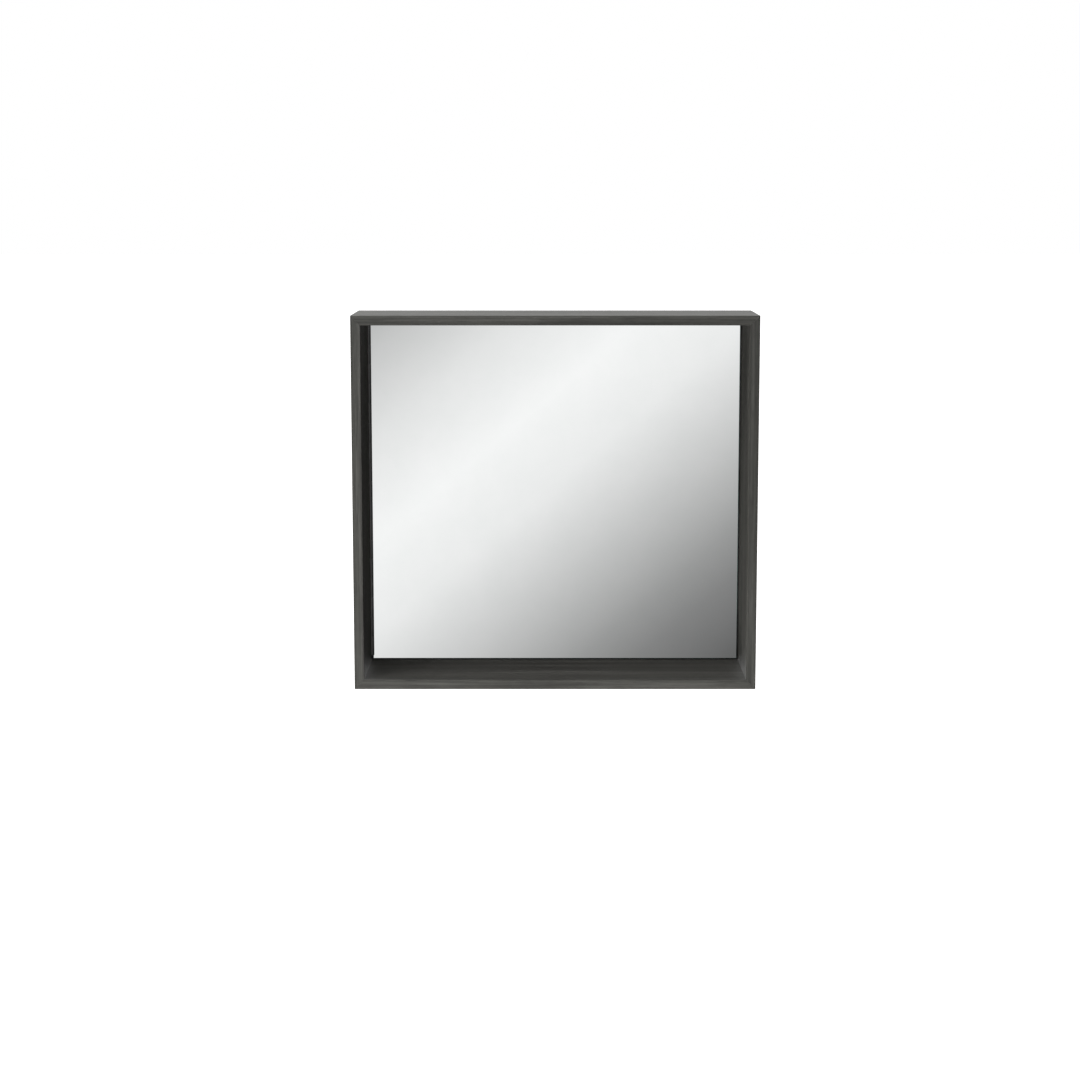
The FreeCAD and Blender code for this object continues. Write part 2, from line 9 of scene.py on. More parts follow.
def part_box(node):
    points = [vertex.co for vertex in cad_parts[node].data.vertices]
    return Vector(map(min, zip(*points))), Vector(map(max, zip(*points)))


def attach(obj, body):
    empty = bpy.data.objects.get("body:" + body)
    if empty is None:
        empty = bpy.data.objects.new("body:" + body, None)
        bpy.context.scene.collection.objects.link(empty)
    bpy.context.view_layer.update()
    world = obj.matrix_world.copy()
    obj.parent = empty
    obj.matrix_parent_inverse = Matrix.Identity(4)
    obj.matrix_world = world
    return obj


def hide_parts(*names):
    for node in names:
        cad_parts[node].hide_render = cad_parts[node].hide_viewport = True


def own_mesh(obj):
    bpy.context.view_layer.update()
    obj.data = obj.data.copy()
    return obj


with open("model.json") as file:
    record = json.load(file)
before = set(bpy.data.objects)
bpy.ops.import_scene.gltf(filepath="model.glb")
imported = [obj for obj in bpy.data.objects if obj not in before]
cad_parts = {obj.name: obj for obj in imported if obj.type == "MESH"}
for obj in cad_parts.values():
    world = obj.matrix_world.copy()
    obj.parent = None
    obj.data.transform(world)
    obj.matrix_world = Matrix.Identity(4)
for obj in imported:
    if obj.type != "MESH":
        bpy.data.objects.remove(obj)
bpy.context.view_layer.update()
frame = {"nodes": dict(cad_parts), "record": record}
MM = 0.001

# The case's outside and inside, worked out from its boards
CASE_LOW = Vector(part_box("case_left")[0])
CASE_HIGH = Vector(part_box("case_right")[1])
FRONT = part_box("front_edging")[0][1]
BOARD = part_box("case_left")[1][0] - CASE_LOW.x
EDGING = CASE_LOW.y - FRONT
INNER_X = CASE_HIGH.x - BOARD
INNER_Z = CASE_HIGH.z - BOARD

# The storage body's folded sheet
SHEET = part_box("body_back")[1][1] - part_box("body_back")[0][1]
BODY_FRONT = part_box("body_left")[0][1]
BODY_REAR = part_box("body_left")[1][1]
FLANGE = -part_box("body_left")[0][0] - INNER_X
LIP = INNER_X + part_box("body_left")[1][0]
FOLD_RADIUS = 1.0 * MM
HEM_RADIUS = 0.6 * MM

ALUMINIUM = (0.50, 0.505, 0.51)
BRUSHED_ROUGHNESS = 0.34

# How far apart in the grain pattern the four boards are
VENEER_STEP = 0.37

# Fasteners and fittings
SHANK_SHARE = 0.5
NECK_SHARE = 0.4
THREAD_PITCH = 1.5 * MM
THREAD_DEPTH = 0.3 * MM
SCREW_TIP = 2.0 * MM
SCREW_RIM = 0.1 * MM
SCREW_POINT = 0.1 * MM
RIVET_HEAD = 1.0 * MM
RIVET_GRIP = 4.0 * MM
RIVET_SHANK = 1.6 * MM
RIVET_HOLE = 1.0 * MM
RIVET_SWELL = 0.5 * MM
PEG_RADIUS = 2.5 * MM
PEG_STEP = 32 * MM
PEG_COLLAR = 1.5 * MM
PEG_INSIDE = 10 * MM
MAGNET_POCKET = 3 * MM
PLUNGER_GROOVES = (5 * MM, 7 * MM)
SPRING_WIRE = 0.35 * MM
SPRING_TURNS = 9

# Rounding of edges
BOARD_EASE = 0.25 * MM
EDGING_EASE = 0.5 * MM
PANEL_EASE = 0.6 * MM
MIRROR_BEVEL = 0.8 * MM
GLASS_EASE = 0.6 * MM
SHARP_ANGLE = math.radians(50)

# How much further each copy of a fastener is turned than the one before it
COPY_TURN = math.radians(37)

# Vertices closer than JOINED are one corner, and a corner closer than TOUCHING to a plane lies on it
JOINED = 1e-6
TOUCHING = 1e-5

# Camera
LENS = 58.3
SHIFT_X = -0.0075
SHIFT_Y = -0.14
PITCH = 6.34
CAMERA_SIDEWAYS = -0.013
CAMERA_DISTANCE = 3.19
CAMERA_RISE = 0.22

# Studio
FLOOR = CASE_LOW.z - 1.25
FLOOR_HALF_WIDTH = 60.0
CARD_DISTANCE = 3.6
CARD_HALF_WIDTH = 6.5
CARD_TOP = 3.4
CARD_FOOT = -6.0
CARD_SLANT = math.radians(50)
# (metres along the slanting line, brightness)
CARD_GLOW = [
    (-3.5, 0.75), (-1.6, 0.60), (-0.5, 0.53), (-0.14, 0.81), (0.18, 0.965), (0.48, 0.865), (0.80, 0.59),
    (1.10, 0.335), (1.25, 0.237), (1.5, 0.135), (2.6, 0.10), (4.5, 0.18),
]


# ---------------------------------------------------------------- shader nodes

class Shader:
    """A material under construction: a Principled shader and short calls that add nodes to it."""

    def __init__(self, name, **sockets):
        self.material = bpy.data.materials.new(name)
        self.material.use_nodes = True
        self.tree = self.material.node_tree
        self.surface = self.tree.nodes["Principled BSDF"]
        for socket, value in sockets.items():
            self.surface.inputs[socket.replace("_", " ")].default_value = value
        self.coords = self.add("ShaderNodeTexCoord").outputs["Object"]

    def add(self, kind, inputs=None, **settings):
        """A node with its settings, and its inputs given as values or as other nodes' outputs."""
        made = self.tree.nodes.new(kind)
        for key, value in settings.items():
            setattr(made, key, value)
        for key, value in (inputs or {}).items():
            if isinstance(value, bpy.types.NodeSocket):
                self.tree.links.new(value, made.inputs[key])
            else:
                made.inputs[key].default_value = value
        return made

    def stretched(self, scale, offset=(0, 0, 0)):
        """Object coordinates, scaled apart along the three axes."""
        return self.add(
            "ShaderNodeMapping", {"Vector": self.coords, "Scale": scale, "Location": offset}
        ).outputs["Vector"]

    def noise(self, scale, detail=3.0, roughness=0.55, distortion=0.0, offset=(0, 0, 0)):
        """Noise whose three scales are in cycles per metre."""
        return self.add(
            "ShaderNodeTexNoise",
            {
                "Vector": self.stretched(scale, offset),
                "Scale": 1.0,
                "Detail": detail,
                "Roughness": roughness,
                "Distortion": distortion,
            },
        ).outputs["Fac"]

    def ramp(self, factor, stops):
        """A colour ramp from (position, colour) stops."""
        made = self.add("ShaderNodeValToRGB", {"Fac": factor})
        elements = made.color_ramp.elements
        while len(elements) < len(stops):
            elements.new(0.5)
        for element, (position, colour) in zip(elements, stops):
            element.position = position
            element.color = (*colour, 1.0) if len(colour) == 3 else colour
        return made.outputs["Color"]

    def levels(self, factor, low, high, to_low=0.0, to_high=1.0):
        """A value stretched from one range to another, and held inside it."""
        return self.add(
            "ShaderNodeMapRange",
            {"Value": factor, "From Min": low, "From Max": high, "To Min": to_low, "To Max": to_high},
        ).outputs["Result"]

    def mix(self, factor, first, second, blend="MIX"):
        """Two colours mixed."""
        made = self.add("ShaderNodeMix", data_type="RGBA", blend_type=blend)
        for index, value in ((0, factor), (6, first), (7, second)):
            if isinstance(value, bpy.types.NodeSocket):
                self.tree.links.new(value, made.inputs[index])
            elif index:
                made.inputs[index].default_value = (*value, 1.0)
            else:
                made.inputs[index].default_value = value
        return made.outputs[2]

    def combine(self, operation, first, second):
        """Two numbers combined."""
        return self.add(
            "ShaderNodeMath", {0: first, 1: second}, operation=operation
        ).outputs["Value"]

    def average(self, first, second):
        """The mean of two numbers."""
        halves = [self.combine("MULTIPLY", value, 0.5) for value in (first, second)]
        return self.combine("ADD", *halves)

    def drive(self, **sockets):
        """Link outputs to the surface's sockets."""
        for socket, value in sockets.items():
            self.tree.links.new(value, self.surface.inputs[socket.replace("_", " ")])

    def bump(self, height, depth, strength=1.0):
        """Raise the surface by a height map, by at most depth in metres."""
        made = self.add("ShaderNodeBump", {"Height": height, "Distance": depth, "Strength": strength})
        self.drive(Normal=made.outputs["Normal"])


def along(axis, lengthwise, across):
    """Three scales: one along the grain's axis, and another across it."""
    return tuple(lengthwise if i == axis else across for i in range(3))


def veneer(name, axis, offset=0.0):
    """Dark stained oak veneer under matt lacquer, its grain along one axis."""
    made = Shader(name, Roughness=0.5, Specular_IOR_Level=0.35)
    shift = (offset, offset * 0.7, offset * 1.3)
    bands = made.noise(along(axis, 0.9, 30), 3.0, 0.6, 0.5, shift)
    streaks = made.noise(along(axis, 4, 260), 4.0, 0.62, 0.2, shift)
    pores = made.noise(along(axis, 26, 1300), 2.0, 0.5, 0.0, shift)
    clouds = made.noise((4, 4, 4), 2.0, 0.5, 0.0, shift)
    tone = made.average(bands, streaks)
    colour = made.ramp(
        tone,
        [
            (0.38, (0.024, 0.0236, 0.0208)),
            (0.46, (0.036, 0.0355, 0.0318)),
            (0.53, (0.050, 0.0494, 0.0446)),
            (0.63, (0.074, 0.0730, 0.0664)),
        ],
    )
    open_pores = made.levels(pores, 0.36, 0.43, 1.0, 0.0)
    colour = made.mix(made.combine("MULTIPLY", open_pores, 0.6), colour, (0.011, 0.0108, 0.0100))
    colour = made.mix(made.levels(clouds, 0.35, 0.65, 0.0, 0.2), colour, (0.064, 0.063, 0.058))
    made.drive(Base_Color=colour, Roughness=made.levels(streaks, 0.35, 0.65, 0.44, 0.58))
    relief = made.combine("SUBTRACT", made.combine("MULTIPLY", streaks, 0.35), open_pores)
    made.bump(relief, 0.00006, 0.8)
    return made.material


def brushed(name, axis, colour, roughness, spread=0.05, contrast=0.12):
    """Metal with fine brush or draw lines along one axis."""
    made = Shader(name, Metallic=1.0)
    lines = made.noise(along(axis, 3, 1300), 2.0, 0.6)
    bands = made.noise(along(axis, 0.4, 130), 3.0, 0.6)
    tone = made.average(lines, bands)
    darker = tuple(channel * (1 - contrast) for channel in colour)
    made.drive(
        Base_Color=made.mix(made.levels(tone, 0.34, 0.66), darker, colour),
        Roughness=made.levels(tone, 0.34, 0.66, roughness + spread, roughness - spread),
    )
    made.bump(lines, 0.00002, 0.6)
    return made.material


def moulded(name, colour, roughness, grain=1400, depth=0.00003, **sockets):
    """Plastic, rubber or sealed board with a fine moulded texture."""
    made = Shader(name, **sockets)
    texture = made.noise((grain,) * 3, 2.0, 0.5)
    clouds = made.noise((14, 14, 14), 3.0, 0.6)
    lighter = tuple(min(1.0, channel * 1.2) for channel in colour)
    made.drive(
        Base_Color=made.mix(made.levels(clouds, 0.3, 0.7), colour, lighter),
        Roughness=made.levels(texture, 0.3, 0.7, roughness - 0.07, roughness + 0.07),
    )
    made.bump(texture, depth, 0.6)
    return made.material


def silvered(name):
    """The mirror's silvering seen through float glass, with a very faint film of dust."""
    made = Shader(name, Metallic=1.0)
    film = made.noise((11, 11, 11), 5.0, 0.65)
    made.drive(
        Base_Color=made.mix(made.levels(film, 0.35, 0.7), (0.93, 0.945, 0.94), (0.955, 0.965, 0.962)),
        Roughness=made.levels(film, 0.4, 0.8, 0.012, 0.03),
    )
    return made.material


def clear_glass(name, tint, clearness=1.0, roughness=0.02):
    """Float glass: clear seen through its faces, green seen through its edges."""
    made = Shader(name, Transmission_Weight=clearness, IOR=1.5)
    smears = made.noise((16, 16, 16), 4.0, 0.6)
    lighter = tuple(min(1, channel * 1.02) for channel in tint)
    made.drive(
        Base_Color=made.mix(made.levels(smears, 0.3, 0.7), tint, lighter),
        Roughness=made.levels(smears, 0.5, 0.85, roughness, roughness + 0.05),
    )
    return made.material


# ---------------------------------------------------------------- mesh tools

def finish_piece(mesh, name, body, materials, nodes, drill=None):
    """Put a finished bmesh in the scene, riding on its body and standing for its CAD nodes."""
    piece = new_object(mesh, name)
    if drill:
        cut_out(piece, drill)
    for material in materials:
        piece.data.materials.append(material)
    piece.data.shade_smooth()
    piece.data.set_sharp_from_angle(angle=SHARP_ANGLE)
    # Rounded edges shade smoothly while the flat faces between them stay flat
    piece.modifiers.new("flat_faces", "WEIGHTED_NORMAL").keep_sharp = True
    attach(piece, body)
    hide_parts(*nodes)
    return piece


def new_object(mesh, name):
    """Turn a bmesh into a linked object with its faces all facing out."""
    data = bpy.data.meshes.new(name)
    bmesh.ops.recalc_face_normals(mesh, faces=mesh.faces)
    mesh.to_mesh(data)
    mesh.free()
    made = bpy.data.objects.new(name, data)
    bpy.context.scene.collection.objects.link(made)
    return made


def cut_out(piece, drill):
    """Take a bmesh of drill paths out of a piece."""
    tool = new_object(drill, "drill")
    cut = piece.modifiers.new("drill", "BOOLEAN")
    cut.solver = "EXACT"
    cut.object = tool
    result = piece.evaluated_get(bpy.context.evaluated_depsgraph_get())
    drilled = bpy.data.meshes.new_from_object(result)
    piece.modifiers.clear()
    piece.data = drilled
    bpy.data.objects.remove(tool)


def prism(first, last):
    """A closed bmesh between two outlines with the same number of corners."""
    mesh = bmesh.new()
    rings = [[mesh.verts.new(corner) for corner in ring] for ring in (first, last)]
    bridge(mesh, rings)
    for ring in rings:
        mesh.faces.new(ring)
    return mesh


def bridge(mesh, rings):
    """Faces between each closed ring of vertices and the next."""
    for first, second in zip(rings, rings[1:]):
        for i, vertex in enumerate(first):
            j = (i + 1) % len(first)
            mesh.faces.new((vertex, first[j], second[j], second[i]))


def ease(mesh, radius, segments=3, chosen=None):
    """Round a bmesh's edges: all of them, or those that a test chooses."""
    edges = [edge for edge in mesh.edges if chosen is None or chosen(edge)]
    bmesh.ops.bevel(
        mesh, geom=edges, offset=radius, segments=segments, profile=0.5,
        affect="EDGES", clamp_overlap=False,
    )


def block(low, high):
    """A closed bmesh of a box."""
    corners = [(low[0], low[2]), (high[0], low[2]), (high[0], high[2]), (low[0], high[2])]
    return prism([(x, low[1], z) for x, z in corners], [(x, high[1], z) for x, z in corners])


def circle(mesh, radius, height, steps=24):
    """A ring of vertices round Z. The radius is a number, or a function of the angle in turns."""
    ring = []
    for i in range(steps):
        reach = radius(i / steps) if callable(radius) else radius
        angle = math.tau * i / steps
        ring.append(mesh.verts.new((reach * math.cos(angle), reach * math.sin(angle), height)))
    return ring


def turned(profile, steps=24):
    """A closed bmesh turned about Z from (radius, height) points, flat at both ends."""
    mesh = bmesh.new()
    rings = [circle(mesh, radius, height, steps) for radius, height in profile]
    bridge(mesh, rings)
    mesh.faces.new(rings[0])
    mesh.faces.new(rings[-1])
    return mesh


def curve(start, end, steps=5, outwards=True):
    """Profile points of a quarter round, which leaves start outwards or else lengthwise."""
    points = []
    for i in range(1, steps + 1):
        angle = math.pi / 2 * i / steps
        shares = (math.sin(angle), 1 - math.cos(angle))
        across, up = shares if outwards else reversed(shares)
        points.append((start[0] + (end[0] - start[0]) * across, start[1] + (end[1] - start[1]) * up))
    return points


def arc(centre, radius, first, last, steps=5):
    """Points along an arc, its angles in degrees."""
    angles = [math.radians(first + (last - first) * i / steps) for i in range(steps + 1)]
    return [(centre[0] + radius * math.cos(a), centre[1] + radius * math.sin(a)) for a in angles]


def solids(node):
    """The lowest and highest corners of each separate solid in a CAD node, in a fixed order."""
    mesh = bmesh.new()
    mesh.from_mesh(frame["nodes"][node].data)
    bmesh.ops.remove_doubles(mesh, verts=mesh.verts, dist=JOINED)
    waiting = set(mesh.verts)
    boxes = []
    while waiting:
        reached = [waiting.pop()]
        for vertex in reached:
            for edge in vertex.link_edges:
                other = edge.other_vert(vertex)
                if other in waiting:
                    waiting.remove(other)
                    reached.append(other)
        places = [vertex.co for vertex in reached]
        low, high = (Vector(map(pick, zip(*places))) for pick in (min, max))
        boxes.append((low, high))
    mesh.free()
    return sorted(boxes, key=lambda box: [round(c, 5) for c in (box[0] + box[1])])


def add_to(whole, part):
    """Move a bmesh's faces into another bmesh."""
    carrier = bpy.data.meshes.new("carrier")
    part.to_mesh(carrier)
    part.free()
    whole.from_mesh(carrier)
    bpy.data.meshes.remove(carrier)


def copies(node, shape, heading):
    """One bmesh with a shape in place of each solid of a node.

    shape(radius, length) runs from its visible end at z = 0 towards +Z, and heading(centre, size)
    is the direction that its +Z takes. Each copy is turned a little further than the last.
    """
    whole = bmesh.new()
    for i, (low, high) in enumerate(solids(node)):
        size, centre = high - low, (low + high) / 2
        way = heading(centre, size)
        along_it = abs(size.dot(way))
        radius = (size.x + size.y + size.z - along_it) / 4
        copy = shape(radius, along_it)
        turn = way.to_track_quat("Z", "Y").to_matrix().to_4x4()
        spin = Matrix.Rotation(i * COPY_TURN, 4, "Z")
        copy.transform(Matrix.Translation(centre - way * along_it / 2) @ turn @ spin)
        add_to(whole, copy)
    return whole


SIDES = {
    "top": ((-1, 1), (1, 1)),
    "bottom": ((-1, -1), (1, -1)),
    "left": ((-1, -1), (-1, 1)),
    "right": ((1, -1), (1, 1)),
}
LENGTHWISE = {"top": 0, "bottom": 0, "left": 2, "right": 2}


def frame_side(side, section):
    """A closed bmesh of one mitred side of a frame round the case's opening.

    The section's points are (distance out from the opening's edge, y).
    """
    rings = [
        [(sign_x * (INNER_X + out), y, sign_z * (INNER_Z + out)) for out, y in section]
        for sign_x, sign_z in SIDES[side]
    ]
    return prism(*rings)


# ---------------------------------------------------------------- fasteners

def cross_screw(radius, length):
    """A countersunk wood screw with a cross recess and a helical thread."""
    mesh = bmesh.new()
    shank = radius * SHANK_SHARE
    neck = radius * NECK_SHARE

    def thread(height):
        def reach(turn):
            phase = (height / THREAD_PITCH - turn) % 1
            return shank - THREAD_DEPTH * abs(2 * phase - 1)
        return reach

    rings = [circle(mesh, radius, 0), circle(mesh, radius, SCREW_RIM), circle(mesh, shank, neck)]
    rise = THREAD_PITCH / 4
    for i in range(1, int((length - SCREW_TIP - neck) / rise)):
        rings.append(circle(mesh, thread(neck + i * rise), neck + i * rise))
    rings.append(circle(mesh, shank - THREAD_DEPTH, length - SCREW_TIP))
    rings.append(circle(mesh, SCREW_POINT, length))
    bridge(mesh, rings)
    mesh.faces.new(rings[-1])
    cut_cross(mesh, rings[0], radius)
    return mesh


def cut_cross(mesh, rim, radius):
    """Close a screw head's top, inside its rim, with a tapered cross-shaped recess in it."""
    reach, half, depth, taper = 0.58 * radius, 0.15 * radius, 0.42 * radius, 0.55
    corners = []
    for quarter in range(4):
        turn = Matrix.Rotation(quarter * math.pi / 2, 2)
        corners += [turn @ Vector(corner) for corner in ((reach, -half), (reach, half), (half, half))]
    mouth = [mesh.verts.new((x, y, 0)) for x, y in corners]
    base = [mesh.verts.new((x * taper, y * taper, depth)) for x, y in corners]
    bridge(mesh, [mouth, base])
    mesh.faces.new(base)
    loops = [
        mesh.edges.get((ring[i], ring[(i + 1) % len(ring)]))
        for ring in (rim, mouth) for i in range(len(ring))
    ]
    bmesh.ops.triangle_fill(mesh, use_beauty=True, edges=loops)


def pop_rivet(radius, length):
    """A set blind rivet: domed head with the snapped stem inside it, and the bulb on the far side."""
    grip_end = (RIVET_SHANK, RIVET_HEAD + RIVET_GRIP)
    widest = (RIVET_SHANK * 1.4, RIVET_HEAD + RIVET_GRIP + RIVET_SWELL)
    mouth = (RIVET_HOLE * 1.2, 0)
    profile = [
        (RIVET_HOLE * 0.8, RIVET_HEAD * 0.55),
        (RIVET_HOLE, RIVET_HEAD * 0.5),
        (RIVET_HOLE, RIVET_HEAD * 0.12),
        mouth,
    ]
    profile += curve(mouth, (radius, RIVET_HEAD * 0.75))
    profile += [(radius * 0.97, RIVET_HEAD), (RIVET_SHANK, RIVET_HEAD), grip_end]
    profile += curve(grip_end, widest, 3)
    profile += curve(widest, (RIVET_HOLE, length), 4, outwards=False)
    return turned(profile)


def bumper(radius, length):
    """A soft dome."""
    top = (0.2 * radius, 0)
    return turned([top] + curve(top, (radius, 0.7 * length), 7) + [(radius, length)], 28)


def shelf_peg(radius, length):
    """A plated peg with a rounded end and a collar that stops against the wall."""
    collar = PEG_INSIDE - PEG_COLLAR
    blunt, chamfer = 0.7 * MM, 0.4 * MM
    tip = (PEG_RADIUS - blunt, 0)
    profile = [tip] + curve(tip, (PEG_RADIUS, blunt))
    profile += [(PEG_RADIUS, collar), (radius - chamfer, collar), (radius, collar + chamfer)]
    profile += [(radius, PEG_INSIDE), (PEG_RADIUS, PEG_INSIDE)]
    profile += [(PEG_RADIUS, length - chamfer), (PEG_RADIUS - chamfer, length)]
    return turned(profile)


def plunger(radius, length):
    """The latch's plunger, with a pocket for its magnet and two guide grooves."""
    pocket, groove = 0.85 * radius, 0.25 * MM
    profile = [(pocket, MAGNET_POCKET), (pocket, 0), (radius - groove, 0), (radius, groove)]
    for start in PLUNGER_GROOVES:
        profile += [(radius, start), (radius - groove, start + groove)]
        profile += [(radius - groove, start + 3 * groove), (radius, start + 4 * groove)]
    return turned(profile + [(radius, length - groove), (radius - groove, length)], 32)


def straight(x, y, z):
    """A heading that is the same for every copy."""
    return lambda centre, size: Vector((x, y, z))


def outward(centre, size):
    """From the middle of the cabinet to the nearer side wall."""
    return Vector((math.copysign(1, centre.x), 0, 0))


def rivet_heading(centre, size):
    """Rivets of the back go to the rear; those of the stop rails go in through their own wall."""
    if size.y > max(size.x, size.z):
        return Vector((0, 1, 0))
    if size.z > size.x:
        return Vector((0, 0, -math.copysign(1, centre.z)))
    return -outward(centre, size)


def make_fasteners(zinc, black):
    """Screws, rivets, pegs and bumpers in place of the plain CAD ones."""
    rivet = brushed("rivet_metal", 1, (0.56, 0.56, 0.57), 0.3)
    nickel = brushed("nickel", 0, (0.66, 0.63, 0.59), 0.22)
    silicone = moulded("silicone", (0.62, 0.64, 0.64), 0.3, Transmission_Weight=0.4)
    white = moulded("plunger_white", (0.62, 0.62, 0.60), 0.4)
    for node, body, slot, material, shape, heading in (
        ("case_screws", "cabinet", "zinc_steel", zinc, cross_screw, straight(0, -1, 0)),
        ("latch_screws", "cabinet", "zinc_steel", zinc, cross_screw, straight(1, 0, 0)),
        ("strike_screws", "door", "zinc_steel", zinc, cross_screw, straight(0, -1, 0)),
        ("hinge_wall_screws", "cabinet", "black_steel", black, cross_screw, straight(-1, 0, 0)),
        ("hinge_door_screws", "door", "black_steel", black, cross_screw, straight(1, 0, 0)),
        ("body_rivets", "cabinet", "rivet_aluminium", rivet, pop_rivet, rivet_heading),
        ("shelf_pegs", "cabinet", "peg_nickel", nickel, shelf_peg, outward),
        ("door_bumpers", "door", "silicone", silicone, bumper, straight(0, -1, 0)),
        ("latch_plunger", "plunger", "latch_plastic", white, plunger, straight(0, 1, 0)),
    ):
        mesh = copies(node, shape, heading)
        piece = finish_piece(mesh, f"{node}_finished", body, [material], [node])
        # The mirror shows the studio only, not the case and its fixings
        piece.visible_glossy = node != "case_screws"


# ---------------------------------------------------------------- the cabinet

def lies_on_front(y):
    """A test for edges that lie in a front plane."""
    return lambda edge: all(vertex.co.y < y + TOUCHING for vertex in edge.verts)


def make_case():
    """Four veneered boards with eased mitres, and the edging on their front edges."""
    back = FRONT + EDGING
    for i, side in enumerate(SIDES):
        wood = veneer(f"veneer_{side}", LENGTHWISE[side], VENEER_STEP * i)
        board = frame_side(
            side, [(0, CASE_LOW.y), (BOARD, CASE_LOW.y), (BOARD, CASE_HIGH.y), (0, CASE_HIGH.y)]
        )
        ease(board, BOARD_EASE, 2)
        board = finish_piece(board, f"board_{side}", "cabinet", [wood], [f"case_{side}"])
        strip = frame_side(side, [(0, FRONT), (BOARD, FRONT), (BOARD, back), (0, back)])
        ease(strip, EDGING_EASE, 3, lies_on_front(FRONT))
        strip = finish_piece(strip, f"edging_{side}", "cabinet", [wood], ["front_edging"])
        # The mirror shows the studio only, not the case that stands round it
        board.visible_glossy = strip.visible_glossy = False
    frame["nodes"]["corner_biscuits"].visible_glossy = False


def wall_section():
    """The folded sheet of the storage body: front flange, wall and rear lip, with bent corners."""
    outer_fold = (SHEET + FOLD_RADIUS, BODY_FRONT + SHEET + FOLD_RADIUS)
    outer_hem = (-HEM_RADIUS, BODY_REAR - SHEET - HEM_RADIUS)
    return (
        [(FLANGE, BODY_FRONT), (FLANGE, BODY_FRONT + SHEET)]
        + arc(outer_fold, FOLD_RADIUS, 270, 180)
        + arc(outer_hem, HEM_RADIUS + SHEET, 0, 90)
        + [(-LIP, BODY_REAR), (-LIP, BODY_REAR - SHEET)]
        + arc(outer_hem, HEM_RADIUS, 90, 0)
        + arc(outer_fold, FOLD_RADIUS + SHEET, 180, 270)
    )


def wall_holes(side):
    """Drill paths of the shelf peg holes and stud holes in one side wall."""
    sign = -1 if side == "left" else 1
    spots = []
    for low, high in solids("shelf_pegs"):
        peg = (low + high) / 2
        if peg.x * sign > 0:
            spots += [(peg.y, peg.z + step * PEG_STEP, PEG_RADIUS) for step in (-1, 0, 1)]
    for mount in frame["record"]["mounts"]:
        if mount["kind"] == "bolt_pattern" and mount["pos_m"][0] * sign > 0:
            reach = mount["dims"]["spacing_y_mm"] * MM / 2
            radius = mount["dims"]["hole_r_mm"] * MM
            spots += [(mount["pos_m"][1], end * reach, radius) for end in (-1, 1)]
    drill = bmesh.new()
    for y, z, radius in spots:
        path = turned([(radius, -SHEET), (radius, 2 * SHEET)])
        turn = Matrix.Rotation(sign * math.pi / 2, 4, "Y")
        path.transform(Matrix.Translation((sign * INNER_X, y, z)) @ turn)
        add_to(drill, path)
    return drill


def make_storage_body():
    """Four folded walls; the side walls have holes for pegs and for the stud screws."""
    for side in SIDES:
        metal = brushed(f"aluminium_{side}", LENGTHWISE[side], ALUMINIUM, BRUSHED_ROUGHNESS)
        drill = wall_holes(side) if side in ("left", "right") else None
        finish_piece(
            frame_side(side, wall_section()), f"wall_{side}", "cabinet",
            [metal], [f"body_{side}"], drill,
        )


def paint_edges(piece, axis):
    """Give the second material to every face that doesn't face along an axis."""
    for face in piece.data.polygons:
        face.material_index = 0 if abs(face.normal[axis]) > 0.99 else 1


def make_mirror():
    """Silvered glass with a narrow polished bevel round its face and green ground edges."""
    low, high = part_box("mirror_glass")
    pane = block(low, high)
    ease(pane, MIRROR_BEVEL, 2, lies_on_front(low[1]))
    looks = [silvered("mirror_silvering"), moulded("mirror_edge", (0.10, 0.19, 0.16), 0.2)]
    piece = finish_piece(pane, "mirror_pane", "door", looks, ["mirror_glass"])
    paint_edges(piece, 1)
    for face in piece.data.polygons:
        face.use_smooth = False
    # The case's inside takes no light from the mirror
    piece.visible_diffuse = piece.visible_glossy = False


def make_door_board():
    """The panel behind the mirror: charcoal laminate faces and black edge banding."""
    board = block(*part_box("door_panel"))
    ease(board, PANEL_EASE)
    laminate = moulded("charcoal_laminate", (0.040, 0.040, 0.038), 0.5, 500, 0.00005)
    banding = moulded("edge_banding", (0.016, 0.016, 0.016), 0.4)
    looks = [laminate, banding]
    piece = finish_piece(board, "door_board", "door", looks, ["door_panel"])
    paint_edges(piece, 1)


def make_shelves():
    """Two glass shelves with eased, polished edges."""
    looks = [
        clear_glass("shelf_glass", (0.92, 0.975, 0.955)),
        clear_glass("shelf_edge", (0.24, 0.44, 0.37), 0.6, 0.12),
    ]
    for node in ("shelf_lower", "shelf_upper"):
        glass = block(*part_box(node))
        ease(glass, GLASS_EASE)
        piece = finish_piece(glass, f"{node}_glass", "cabinet", looks, [node])
        paint_edges(piece, 2)


